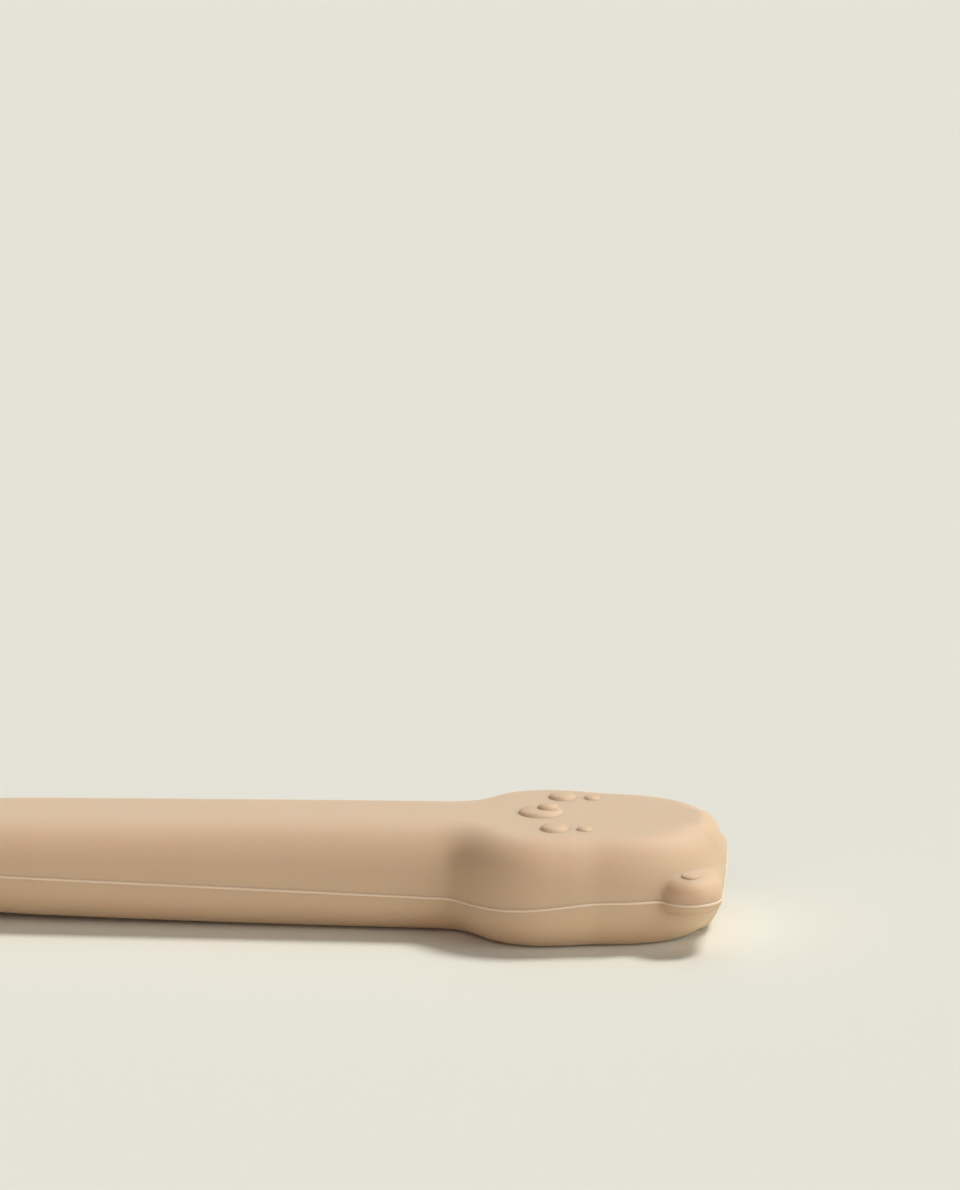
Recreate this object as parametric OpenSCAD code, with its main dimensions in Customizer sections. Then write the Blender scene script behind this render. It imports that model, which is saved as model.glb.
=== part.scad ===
// Baby spoon with an animal's head at the end of its handle, cast in soft silicone over a stiff core.
// The spoon lies along X, with its bowl at -X and its head at +X, and rests on z = 0. Units are millimetres.

/* [Overall] */
// Length from the tip of the bowl to the top of the head
spoon_length = 150; // [130:1:180]

/* [Head] */
// Length of the head, from the neck to the end of the crown
head_length = 29; // [26:0.5:34]
// Width across the jowls
jowl_width = 25.3; // [22:0.1:30]
// Length of the round jowls along the spoon
jowl_length = 22.4; // [20:0.1:24]
// Distance from the end of the crown back to the widest place of the jowls
jowl_setback = 18; // [16:0.5:19]
// Width across the crown
crown_width = 23.2; // [20:0.1:26]
// Length over which the crown closes to its end
crown_length = 14; // [11:0.5:15]
// Squareness of the crown, where 2 is an ellipse
crown_power = 2.5; // [2:0.1:4]
// Softness of the dent between the jowls and the crown
dent_blend = 1.5; // [0.5:0.1:3]
// Height of the flat face above the table
face_height = 11.1; // [9:0.1:14]
// Width of the rounding round the face
face_round = 4.2; // [2:0.1:6]
// Width of the rounding round the base
base_round = 3.8; // [2:0.1:5]
// Width of both roundings at the end of the crown
tip_round = 2.9; // [2:0.1:4]
// Height of the parting line at the crown
crown_parting = 5.1; // [4:0.1:6.5]

/* [Handle] */
// Width of the handle at the neck
handle_width = 16.2; // [13:0.1:20]
// Width of the handle where it meets the bowl
root_width = 12.4; // [10:0.1:16]
// Fall of the handle's top from the neck to the bowl
top_fall = 1.2; // [1:0.1:2]
// Gap under the handle at the neck
neck_gap = 0.1; // [0.05:0.05:0.5]
// Rise of the handle's underside from the neck to the bowl
under_rise = 1.7; // [1.5:0.05:3]
// Height of the parting line at the neck
neck_parting = 4.3; // [3.5:0.1:5.5]
// Rise of the parting line from the neck to the bowl
parting_rise = 2; // [0.5:0.1:2.5]
// Width of the rounding along the handle's top
handle_top_round = 5.4; // [3:0.1:6]
// Width of the rounding along the handle's underside
handle_under_round = 4.5; // [3:0.1:6]

/* [Bowl] */
// Length of the bowl
bowl_length = 46; // [38:1:54]
// Width of the bowl
bowl_width = 30; // [26:1:36]
// Squareness of the bowl from above, where 2 is an ellipse
bowl_power = 2.2; // [2:0.1:3]
// Height of the rim above the table
rim_height = 10.2; // [9.8:0.1:11.5]
// Thickness of the wall at the rim
rim_wall = 2.2; // [1.6:0.1:3]
// Thickness of the bowl's floor
floor_wall = 2.5; // [1.6:0.1:3.5]
// Length of the flat under the bowl
foot_length = 12; // [8:0.5:18]

/* [Ears] */
// Diameter of an ear from above
ear_size = 6.2; // [5:0.1:8]
// Rise of an ear's top above the parting line
ear_rise = 2.4; // [1.5:0.1:3]
// Drop of an ear's underside below the parting line
ear_drop = 1.3; // [0.8:0.1:2.5]
// Distance from the end of the crown back to the middle of an ear
ear_setback = 3.2; // [3:0.1:5]
// Distance that each ear goes on into the head from its middle
ear_depth = 4; // [0:0.5:5]
// Diameter of the raised oval on an ear
inner_ear_size = 1.7; // [1:0.1:2.5]
// Height of the raised oval above the ear
inner_ear_relief = 0.2; // [0.15:0.05:0.5]
// Distance from the middle of an ear outwards to the middle of its raised oval
inner_ear_offset = 0.7; // [0:0.1:1]

/* [Face] */
// Diameter of an eye
eye_size = 1.5; // [1:0.1:2.5]
// Height of an eye above the face
eye_relief = 0.3; // [0.2:0.05:0.6]
// Distance between the middles of the eyes
eye_spacing = 12.1; // [9:0.1:13]
// Distance from the end of the crown back to the eyes
eye_setback = 13.75; // [12:0.05:14]
// Diameter of a cheek
cheek_size = 2.7; // [2:0.1:3.5]
// Height of a cheek above the face
cheek_relief = 0.45; // [0.2:0.05:0.8]
// Distance between the middles of the cheeks
cheek_spacing = 12.3; // [10:0.1:13]
// Distance from the end of the crown back to the cheeks
cheek_setback = 16.75; // [16.5:0.05:18]
// Length of the muzzle along the spoon
muzzle_length = 4.4; // [3:0.1:5.5]
// Width of the muzzle across the spoon
muzzle_width = 4.2; // [3:0.1:5]
// Height of the muzzle above the face
muzzle_relief = 0.5; // [0.3:0.05:0.8]
// Distance from the end of the crown back to the middle of the muzzle
muzzle_setback = 18.5; // [17:0.1:20]
// Length of the nose along the spoon
nose_length = 2.4; // [1.5:0.1:3]
// Width of the nose across the spoon
nose_width = 2; // [1.5:0.1:3]
// Height of the nose above the muzzle
nose_relief = 0.45; // [0.2:0.01:0.6]
// Distance from the middle of the muzzle forward to the middle of the nose
nose_lead = 0.7; // [0.5:0.05:1.2]

/* [Core] */
// Width of the core
core_width = 7; // [5:0.5:9]
// Thickness of the core
core_thickness = 3; // [2:0.1:4]
// Height of the middle of the core above the table
core_height = 5.6; // [5:0.1:6]
// Length of the core inside the head
core_head_reach = 14; // [6:0.5:18]
// Distance from the bowl back to the end of the core
core_bowl_gap = 6; // [4:0.5:12]
// Diameter of a locking hole
lock_hole = 3.6; // [2:0.1:4]
// Number of locking holes
lock_holes = 6; // [3:1:8]

/* [Hidden] */

SILICONE = [0.82, 0.74, 0.64];
CORE_PLASTIC = [0.9, 0.89, 0.86];

// Places along the spoon
crown_x = spoon_length / 2;
neck_x = crown_x - head_length;
jowl_x = crown_x - jowl_setback;
bowl_tip_x = -spoon_length / 2;
root_x = bowl_tip_x + bowl_length;
bowl_x = bowl_tip_x + bowl_length / 2;
handle_length = neck_x - root_x;

// Shape of the rounded edges: exponents of their superellipses, where 2 is an ellipse
upper_power = 2.3;
lower_power = 2;
ear_power = 3;

// Shape of the handle's lines from the neck (0) to the bowl (1)
top_power = 1.2;
under_power = 2.2;
narrowing_start = 0.5;

// Length behind the neck over which the handle's section becomes the head's
neck_blend = 6;
// Softness of the crease between the handle and the jowls
neck_crease = 1.5;
// Softness of a passage that counts as sharp
sharp = 0.01;
// Length over which the handle runs on inside the bowl's outline
root_overlap = 10;

// Counts of points
head_stations = 32;
handle_stations = 16;
section_steps = 6;
bowl_points = 49;
bowl_steps = 7;
lip_steps = 4;
relief_points = 24;
relief_steps = 3;
ear_points = 28;
ear_steps = 10;

function clamp01(t) = min(1, max(0, t));

function smooth(t) = let(c = clamp01(t)) c * c * (3 - 2 * c);

function blend(a, b, t) = a + (b - a) * smooth(t);

// Larger of two lengths, with a soft passage that adds a quarter of its width k where they are equal
function soft_max(a, b, k) = let(scale = k / (4 * ln(2))) max(a, b) + scale * ln(1 + exp(-abs(a - b) / scale));

// Half-width of a superellipse of the given half-size at a fraction t of its half-length
function bulge(half, t, power) = half * pow(max(0, 1 - pow(abs(t), power)), 1 / power);

// Place along the handle, from 0 at the neck to 1 at the bowl
function along(x) = max(0, (neck_x - x) / handle_length);

function handle_half(x) =
    blend(handle_width, root_width, (along(x) - narrowing_start) / (1 - narrowing_start)) / 2;

function jowl_half(x) = bulge(jowl_width / 2, (x - jowl_x) / (jowl_length / 2), 2);

function crown_half(x) =
    bulge(crown_width / 2, max(0, (x - crown_x + crown_length) / crown_length), crown_power);

// Half-width of the spoon's outline at x, for the handle and the head
function half_width(x) =
    x < jowl_x ? soft_max(jowl_half(x), handle_half(x), neck_crease)
    : x < crown_x - jowl_setback + jowl_length / 2 ? soft_max(jowl_half(x), crown_half(x), dent_fade(x))
    : crown_half(x);

// Softness of the dent, which fades to nothing at the widest place of the jowls and along the crown
function dent_fade(x) =
    let(rise = (x - jowl_x) / (jowl_setback - crown_length),
        fall = (crown_x - crown_length / 2 - x) / (crown_length / 2))
    max(sharp, dent_blend * smooth(rise) * smooth(fall));

function in_head(x) = (x - neck_x) / neck_blend;

function top_z(x) = face_height - top_fall * pow(along(x), top_power);

function under_z(x) =
    blend(neck_gap, 0, in_head(x)) + under_rise * pow(along(x), under_power);

function parting_z(x) =
    x < neck_x ? neck_parting + parting_rise * along(x)
    : blend(neck_parting, crown_parting, (in_head(x) - 1) / 2);

// Steps of a section from its underside (-90) through the parting line (0) to its top (90)
section_angles = [for (i = [-section_steps : section_steps]) 90 * i / section_steps];

// Distance of the section's side inwards from the outline
function section_inset(x, angle) =
    let(power = angle > 0 ? upper_power : lower_power,
        width = angle > 0
            ? blend(handle_top_round, face_round, in_head(x))
            : blend(handle_under_round, base_round, in_head(x)))
    min(width, max(tip_round, half_width(x))) * (1 - pow(max(0, cos(angle)), 2 / power));

function section_z(x, angle) =
    let(power = angle > 0 ? upper_power : lower_power,
        reach = angle > 0 ? top_z(x) - parting_z(x) : parting_z(x) - under_z(x))
    parting_z(x) + sign(angle) * reach * pow(abs(sin(angle)), 2 / power);

// Closed solid over loops of equal length, each mirrored about y = 0, from the first loop to the last
module ring_solid(rings) {
    count = len(rings[0]);
    last = (len(rings) - 1) * count;
    middle = floor((count - 1) / 2);
    sides = [for (r = [0 : len(rings) - 2], i = [0 : count - 1])
        let(j = (i + 1) % count, low = r * count, high = low + count)
        each [[low + i, high + i, high + j], [low + i, high + j, low + j]]];
    first_cap = [for (i = [0 : middle - 1])
        each concat([[i, i + 1, count - 1 - i]],
                    i + 1 < count - 2 - i ? [[i + 1, count - 2 - i, count - 1 - i]] : [])];
    last_cap = [for (face = first_cap) [for (k = [2, 1, 0]) last + face[k]]];
    polyhedron(points = [for (ring = rings) each ring], faces = concat(first_cap, sides, last_cap));
}

// Level superellipse loop round a middle, counted anticlockwise from above
function oval_loop(x, y, z, half_x, half_y, points, power = 2) =
    [for (i = [0 : points - 1])
        let(a = 360 * (i + 0.5) / points)
        [x + half_x * sign(cos(a)) * pow(abs(cos(a)), 2 / power),
         y + half_y * sign(sin(a)) * pow(abs(sin(a)), 2 / power),
         z]];

// Stations of the head, closer together at the crown
function head_station(i) = neck_x + head_length * sin(90 * i / head_stations);

function outline_point(i) = [head_station(i), half_width(head_station(i))];

// Unit vector from the outline into the head, at right angles to the outline
function inward(i) =
    i == 0 ? [0, -1]
    : i == head_stations ? [-1, 0]
    : let(run = outline_point(i + 1) - outline_point(i - 1)) [run[1], -run[0]] / norm(run);

function head_point(i, angle) =
    let(x = head_station(i), place = outline_point(i) + section_inset(x, angle) * inward(i))
    [place[0], place[1], section_z(x, angle)];

function head_loop(angle) =
    [for (i = [0 : head_stations]) let(p = head_point(i, angle)) [p[0], -p[1], p[2]],
     for (i = [head_stations - 1 : -1 : 0]) head_point(i, angle)];

// Head with its flat face and base, from the neck to the crown
module head_form() {
    ring_solid([for (angle = section_angles) head_loop(angle)]);
}

function handle_section(x) =
    let(half = [for (angle = section_angles)
            [x, half_width(x) - section_inset(x, angle), section_z(x, angle)]])
    concat(half, [for (i = [len(half) - 1 : -1 : 0]) [x, -half[i][1], half[i][2]]]);

// Handle from inside the bowl's outline to the neck
module handle_form() {
    start = root_x - root_overlap;
    step = (neck_x - start) / handle_stations;
    ring_solid([for (i = [0 : handle_stations]) handle_section(start + step * i)]);
}

// Loop of the bowl: its outline drawn in by a distance, then shrunk to a share of its size
function bowl_loop(inset, share, z) =
    oval_loop(bowl_x, 0, z, (bowl_length / 2 - inset) * share, (bowl_width / 2 - inset) * share,
              bowl_points, bowl_power);

// Loops from a flat of the given share at height low, up a round wall to height high
function round_wall(inset, flat_share, low, high) =
    [for (i = [0 : bowl_steps])
        let(a = 90 * i / bowl_steps)
        bowl_loop(inset, flat_share + (1 - flat_share) * sin(a), high - (high - low) * cos(a))];

lip_radius = rim_wall / 2;
lip_z = rim_height - lip_radius;
foot_share = foot_length / bowl_length;

function lip_loops(from, to) =
    [for (i = [from : to])
        let(a = 180 * i / (2 * lip_steps))
        bowl_loop(lip_radius * (1 - cos(a)), 1, lip_z + lip_radius * sin(a))];

outer_loops = round_wall(0, foot_share, 0, lip_z);
cavity_loops = round_wall(rim_wall, foot_share, floor_wall, lip_z);

// Bowl with its hollow filled, which the handle is cut by
module bowl_blank() {
    ring_solid(concat(outer_loops, lip_loops(1, lip_steps)));
}

// Oval button on a level surface, with its upper edge rounded over the given width
module relief(x, y, z, length, width, height, edge) {
    foot = edge < height ? [oval_loop(x, y, z, length / 2, width / 2, relief_points)] : [];
    crown = [for (i = [0 : relief_steps])
        let(a = 90 * i / relief_steps, draw_in = edge * (1 - cos(a)))
        oval_loop(x, y, z + height - edge * (1 - sin(a)), length / 2 - draw_in, width / 2 - draw_in,
                  relief_points)];
    ring_solid(concat(foot, crown));
}

ear_x = crown_x - ear_setback;
ear_y = crown_half(ear_x);
ear_z = parting_z(ear_x);

// Height of an ear's surface at an angle from its underside (-90) through the parting line (0) to its top (90)
function ear_level(angle) =
    ear_z + (angle > 0 ? ear_rise : -ear_drop) * pow(abs(sin(angle)), 2 / ear_power);

// Loop round an ear at height z: a circle on the head's outline that is drawn out into the head, at side 1 or -1
function ear_loop(side, z, reach) =
    [for (i = [0 : ear_points - 1])
        let(a = 360 * i / ear_points, depth = side * sin(a) < 0 ? ear_depth : 0)
        [ear_x + reach * cos(a), side * (ear_y - depth) + reach * sin(a), z]];

// Thick disc with a rounded rim that stands out of the head
module ear_form(side) {
    ring_solid([for (i = [1 : ear_steps - 1])
        let(a = 180 * i / ear_steps - 90, reach = ear_size / 2 * pow(cos(a), 2 / ear_power))
        ear_loop(side, ear_level(i == ear_steps - 1 ? 90 : i == 1 ? -90 : a), reach)]);
}

module ear(side) {
    difference() {
        ear_form(side);
        head_form();
    }
}

core_start = root_x + core_bowl_gap;
core_end = neck_x + core_head_reach;
core_z = core_height - core_thickness / 2;
core_round = core_width / 2;
lock_pitch = (core_end - core_start - core_width) / (lock_holes - 1);

// Stiff flat strip with round ends and locking holes
module rigid_core() {
    color(CORE_PLASTIC)
    translate([0, 0, core_z])
    linear_extrude(core_thickness)
    difference() {
        union() {
            translate([core_start + core_round, -core_round])
            square([core_end - core_start - core_width, core_width]);
            for (x = [core_start + core_round, core_end - core_round])
                translate([x, 0])
                circle(d = core_width, $fn = 48);
        }
        for (i = [0 : lock_holes - 1])
            translate([core_start + core_round + i * lock_pitch, 0])
            circle(d = lock_hole, $fn = 32);
    }
}

module grip_sleeve() {
    color(SILICONE)
    difference() {
        handle_form();
        bowl_blank();
        rigid_core();
    }
}

module soft_bowl() {
    reversed_cavity = [for (i = [bowl_steps : -1 : 0]) cavity_loops[i]];
    color(SILICONE)
    ring_solid(concat(outer_loops, lip_loops(1, 2 * lip_steps - 1), reversed_cavity));
}

module bear_head() {
    color(SILICONE)
    difference() {
        head_form();
        rigid_core();
    }
}

module left_ear() {
    color(SILICONE)
    ear(1);
}

module right_ear() {
    color(SILICONE)
    ear(-1);
}

inner_ear_y = ear_y + inner_ear_offset;

module inner_ears() {
    color(SILICONE)
    for (side = [-1, 1])
        difference() {
            relief(ear_x, side * inner_ear_y, ear_z, inner_ear_size, inner_ear_size,
                   ear_rise + inner_ear_relief, inner_ear_relief);
            ear_form(side);
            head_form();
        }
}

muzzle_x = crown_x - muzzle_setback;

module muzzle() {
    color(SILICONE)
    relief(muzzle_x, 0, face_height, muzzle_length, muzzle_width, muzzle_relief, muzzle_relief);
}

module nose() {
    color(SILICONE)
    difference() {
        relief(muzzle_x + nose_lead, 0, face_height, nose_length, nose_width, muzzle_relief + nose_relief,
               nose_relief);
        muzzle();
    }
}

module eyes() {
    color(SILICONE)
    for (side = [-1, 1])
        relief(crown_x - eye_setback, side * eye_spacing / 2, face_height, eye_size, eye_size, eye_relief,
               eye_relief);
}

module cheeks() {
    color(SILICONE)
    for (side = [-1, 1])
        relief(crown_x - cheek_setback, side * cheek_spacing / 2, face_height, cheek_size, cheek_size,
               cheek_relief, cheek_relief);
}

rigid_core();
grip_sleeve();
soft_bowl();
bear_head();
left_ear();
right_ear();
inner_ears();
muzzle();
nose();
eyes();
cheeks();
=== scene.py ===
"""Soft silicone baby spoon with a flat animal's head at the end of its handle.

The spoon lies along X, with its bowl at -X and its head at +X, and rests on z = 0. The classes hold their
sizes in millimetres, and the meshes are written in metres.
"""

import logging
import math
from dataclasses import dataclass, replace
from enum import Enum, IntEnum
from functools import cached_property

import bpy
import numpy as np
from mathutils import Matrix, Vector


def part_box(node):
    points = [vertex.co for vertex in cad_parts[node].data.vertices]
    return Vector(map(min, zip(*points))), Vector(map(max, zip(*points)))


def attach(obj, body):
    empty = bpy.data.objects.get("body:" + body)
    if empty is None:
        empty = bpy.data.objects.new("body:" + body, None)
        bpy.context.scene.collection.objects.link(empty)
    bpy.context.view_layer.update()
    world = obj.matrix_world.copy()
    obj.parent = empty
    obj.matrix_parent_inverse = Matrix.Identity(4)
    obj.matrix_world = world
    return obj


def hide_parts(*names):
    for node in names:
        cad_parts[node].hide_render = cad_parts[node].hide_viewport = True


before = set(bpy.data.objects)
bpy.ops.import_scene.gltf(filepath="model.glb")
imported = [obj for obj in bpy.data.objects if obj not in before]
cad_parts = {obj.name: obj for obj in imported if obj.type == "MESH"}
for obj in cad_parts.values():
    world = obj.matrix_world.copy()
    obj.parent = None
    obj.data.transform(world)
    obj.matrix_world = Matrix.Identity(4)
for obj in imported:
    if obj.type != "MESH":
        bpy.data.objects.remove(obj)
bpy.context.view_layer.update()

LOG = logging.getLogger("baby_spoon")
BODY = "root"
MM = 0.001
TINY = 1e-9
ELLIPSE = 2.0

Colour = tuple[float, float, float]
Point = tuple[float, float, float]


class Slot(Enum):
    """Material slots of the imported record."""

    SILICONE = "silicone"
    CORE = "core_plastic"


class Zone(Enum):
    """Halves of a section, above and below the mould's parting line."""

    UPPER = 1
    LOWER = -1


class MixSocket(IntEnum):
    """Numbers of a Mix node's colour sockets, which share their names with its other sockets."""

    FIRST = 6
    SECOND = 7
    RESULT = 2


def ease(t: np.ndarray) -> np.ndarray:
    """Smooth step from 0 to 1."""
    c = np.clip(t, 0.0, 1.0)
    return c * c * (3 - 2 * c)


def blend(start: float, end: float, t: np.ndarray) -> np.ndarray:
    """Smooth passage from start at t = 0 to end at t = 1."""
    return start + (end - start) * ease(t)


def soft_max(a: np.ndarray, b: np.ndarray, width: np.ndarray) -> np.ndarray:
    """Larger of two lengths, with a soft passage that adds a quarter of its width where they are equal."""
    scale = width / (4 * math.log(2))
    return np.maximum(a, b) + scale * np.log1p(np.exp(-np.abs(a - b) / scale))


def soft_min(a: np.ndarray, b: np.ndarray, width: np.ndarray) -> np.ndarray:
    """Smaller of two lengths, with a soft passage that takes a quarter of its width where they are equal."""
    return -soft_max(-a, -b, width)


def bulge(half: float, t: np.ndarray, power: float) -> np.ndarray:
    """Half-width of a superellipse at a fraction t of its half-length."""
    return half * np.maximum(0, 1 - np.abs(t) ** power) ** (1 / power)


def oval_distance(u: np.ndarray, v: np.ndarray, half_u: float, half_v: float, power: float) -> np.ndarray:
    """Distance outwards from a superellipse, true near its line.

    Args:
        u: Places along the first half-axis, as shares of it.
        v: Places along the second half-axis, as shares of it.
        half_u: Length of the first half-axis.
        half_v: Length of the second half-axis.
        power: Exponent of the superellipse, where 2 is an ellipse.

    Returns:
        One distance for each place.
    """
    u, v = np.maximum(TINY, u), np.maximum(TINY, v)
    ratio = (u**power + v**power) ** (1 / power)
    slope = np.hypot((u / ratio) ** (power - 1) / half_u, (v / ratio) ** (power - 1) / half_v)
    return (ratio - 1) / slope


def linear(red: int, green: int, blue: int) -> Colour:
    """Turns a colour as seen on a screen, 0 to 255, into the linear colour that a shader takes."""
    shares = [value / 255 for value in (red, green, blue)]
    return tuple(s / 12.92 if s <= 0.04045 else ((s + 0.055) / 1.055) ** 2.4 for s in shares)


@dataclass(frozen=True)
class Extent:
    """Box of a CAD node in millimetres."""

    low: np.ndarray
    high: np.ndarray

    @classmethod
    def of(cls, node: str) -> "Extent":
        """Reads the box of a node from the frame."""
        low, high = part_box(node)
        return cls(np.array(low) / MM, np.array(high) / MM)

    @property
    def middle(self) -> np.ndarray:
        """Middle of the box."""
        return (self.low + self.high) / 2

    @property
    def size(self) -> np.ndarray:
        """Lengths of the box along X, Y and Z."""
        return self.high - self.low


class Graph:
    """Node tree with short calls to add and join nodes."""

    def __init__(self, tree: bpy.types.NodeTree) -> None:
        """Keeps the tree to work on."""
        self.tree = tree

    def add(self, kind: str, inputs: dict | None = None, **settings: object) -> bpy.types.Node:
        """Adds a node.

        Args:
            kind: Blender's name of the node's type.
            inputs: For each socket's name or number, a value, or a socket to join it to.
            settings: The node's own properties.

        Returns:
            The new node.
        """
        node = self.tree.nodes.new(kind)
        for name, value in settings.items():
            setattr(node, name, value)
        for key, value in (inputs or {}).items():
            if isinstance(value, bpy.types.NodeSocket):
                self.tree.links.new(value, node.inputs[key])
            else:
                node.inputs[key].default_value = value
        return node

    def math(self, operation: str, *values: object) -> bpy.types.NodeSocket:
        """Adds a math node on values or sockets and returns its result."""
        return self.add("ShaderNodeMath", dict(enumerate(values)), operation=operation).outputs[0]


class GeometryGraph(Graph):
    """Geometry node tree that is run once on an object and then kept as a plain mesh."""

    def __init__(self, name: str, sizes: dict[str, float], counts: dict[str, int]) -> None:
        """Makes the tree with its named inputs.

        Args:
            name: Name of the tree.
            sizes: Names and values of the lengths that the tree takes.
            counts: Names and values of the counts that the tree takes.
        """
        super().__init__(bpy.data.node_groups.new(name, "GeometryNodeTree"))
        self.values: dict[str, float | int] = {**sizes, **counts}
        face = self.tree.interface
        face.new_socket("Geometry", in_out="INPUT", socket_type="NodeSocketGeometry")
        for size in sizes:
            face.new_socket(size, in_out="INPUT", socket_type="NodeSocketFloat")
        for count in counts:
            face.new_socket(count, in_out="INPUT", socket_type="NodeSocketInt")
        face.new_socket("Material", in_out="INPUT", socket_type="NodeSocketMaterial")
        face.new_socket("Geometry", in_out="OUTPUT", socket_type="NodeSocketGeometry")
        self.given = self.add("NodeGroupInput").outputs

    def close(self, geometry: bpy.types.NodeSocket) -> None:
        """Ends the tree: real geometry, smooth shading and the material.

        Args:
            geometry: Socket with the finished geometry.
        """
        real = self.add("GeometryNodeRealizeInstances", {"Geometry": geometry})
        smooth = self.add("GeometryNodeSetShadeSmooth", {"Geometry": real.outputs[0]})
        dressed = self.add(
            "GeometryNodeSetMaterial",
            {"Geometry": smooth.outputs[0], "Material": self.given["Material"]},
        )
        self.add("NodeGroupOutput", {"Geometry": dressed.outputs[0]})

    def run(self, piece: bpy.types.Object, material: bpy.types.Material) -> bpy.types.Object:
        """Runs the tree on a piece and keeps the result as the piece's own mesh.

        Args:
            piece: Mesh object that the tree starts from.
            material: Finish of the result.

        Returns:
            The same object with its new mesh and no modifier.
        """
        modifier = piece.modifiers.new(self.tree.name, "NODES")
        modifier.node_group = self.tree
        for item in self.tree.interface.items_tree:
            if item.in_out == "INPUT" and item.name in self.values:
                modifier[item.identifier] = self.values[item.name]
            elif item.in_out == "INPUT" and item.name == "Material":
                modifier[item.identifier] = material
        graph = bpy.context.evaluated_depsgraph_get()
        made = bpy.data.meshes.new_from_object(piece.evaluated_get(graph))
        made.name = piece.name
        piece.modifiers.remove(modifier)
        piece.data = made
        return piece


def new_piece(name: str, points: np.ndarray, edges: list, faces: list) -> bpy.types.Object:
    """Makes a mesh object at the origin.

    Args:
        name: Name of the piece.
        points: Places of its points in millimetres.
        edges: Pairs of point numbers, or an empty list.
        faces: Rings of point numbers, or an empty list.

    Returns:
        The object, linked to the scene.
    """
    mesh = bpy.data.meshes.new(name)
    mesh.from_pydata((np.asarray(points) * MM).tolist(), edges, faces)
    piece = bpy.data.objects.new(name, mesh)
    bpy.context.scene.collection.objects.link(piece)
    return piece


def hand_over(piece: bpy.types.Object, slot: Slot, *nodes: str) -> bpy.types.Object:
    """Fixes a finished piece to the spoon.

    Args:
        piece: The finished piece.
        slot: Material slot that it takes its finish from; not used.
        nodes: CAD nodes that it stands for.

    Returns:
        The same piece.
    """
    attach(piece, BODY)
    if nodes:
        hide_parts(*nodes)
    return piece


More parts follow.
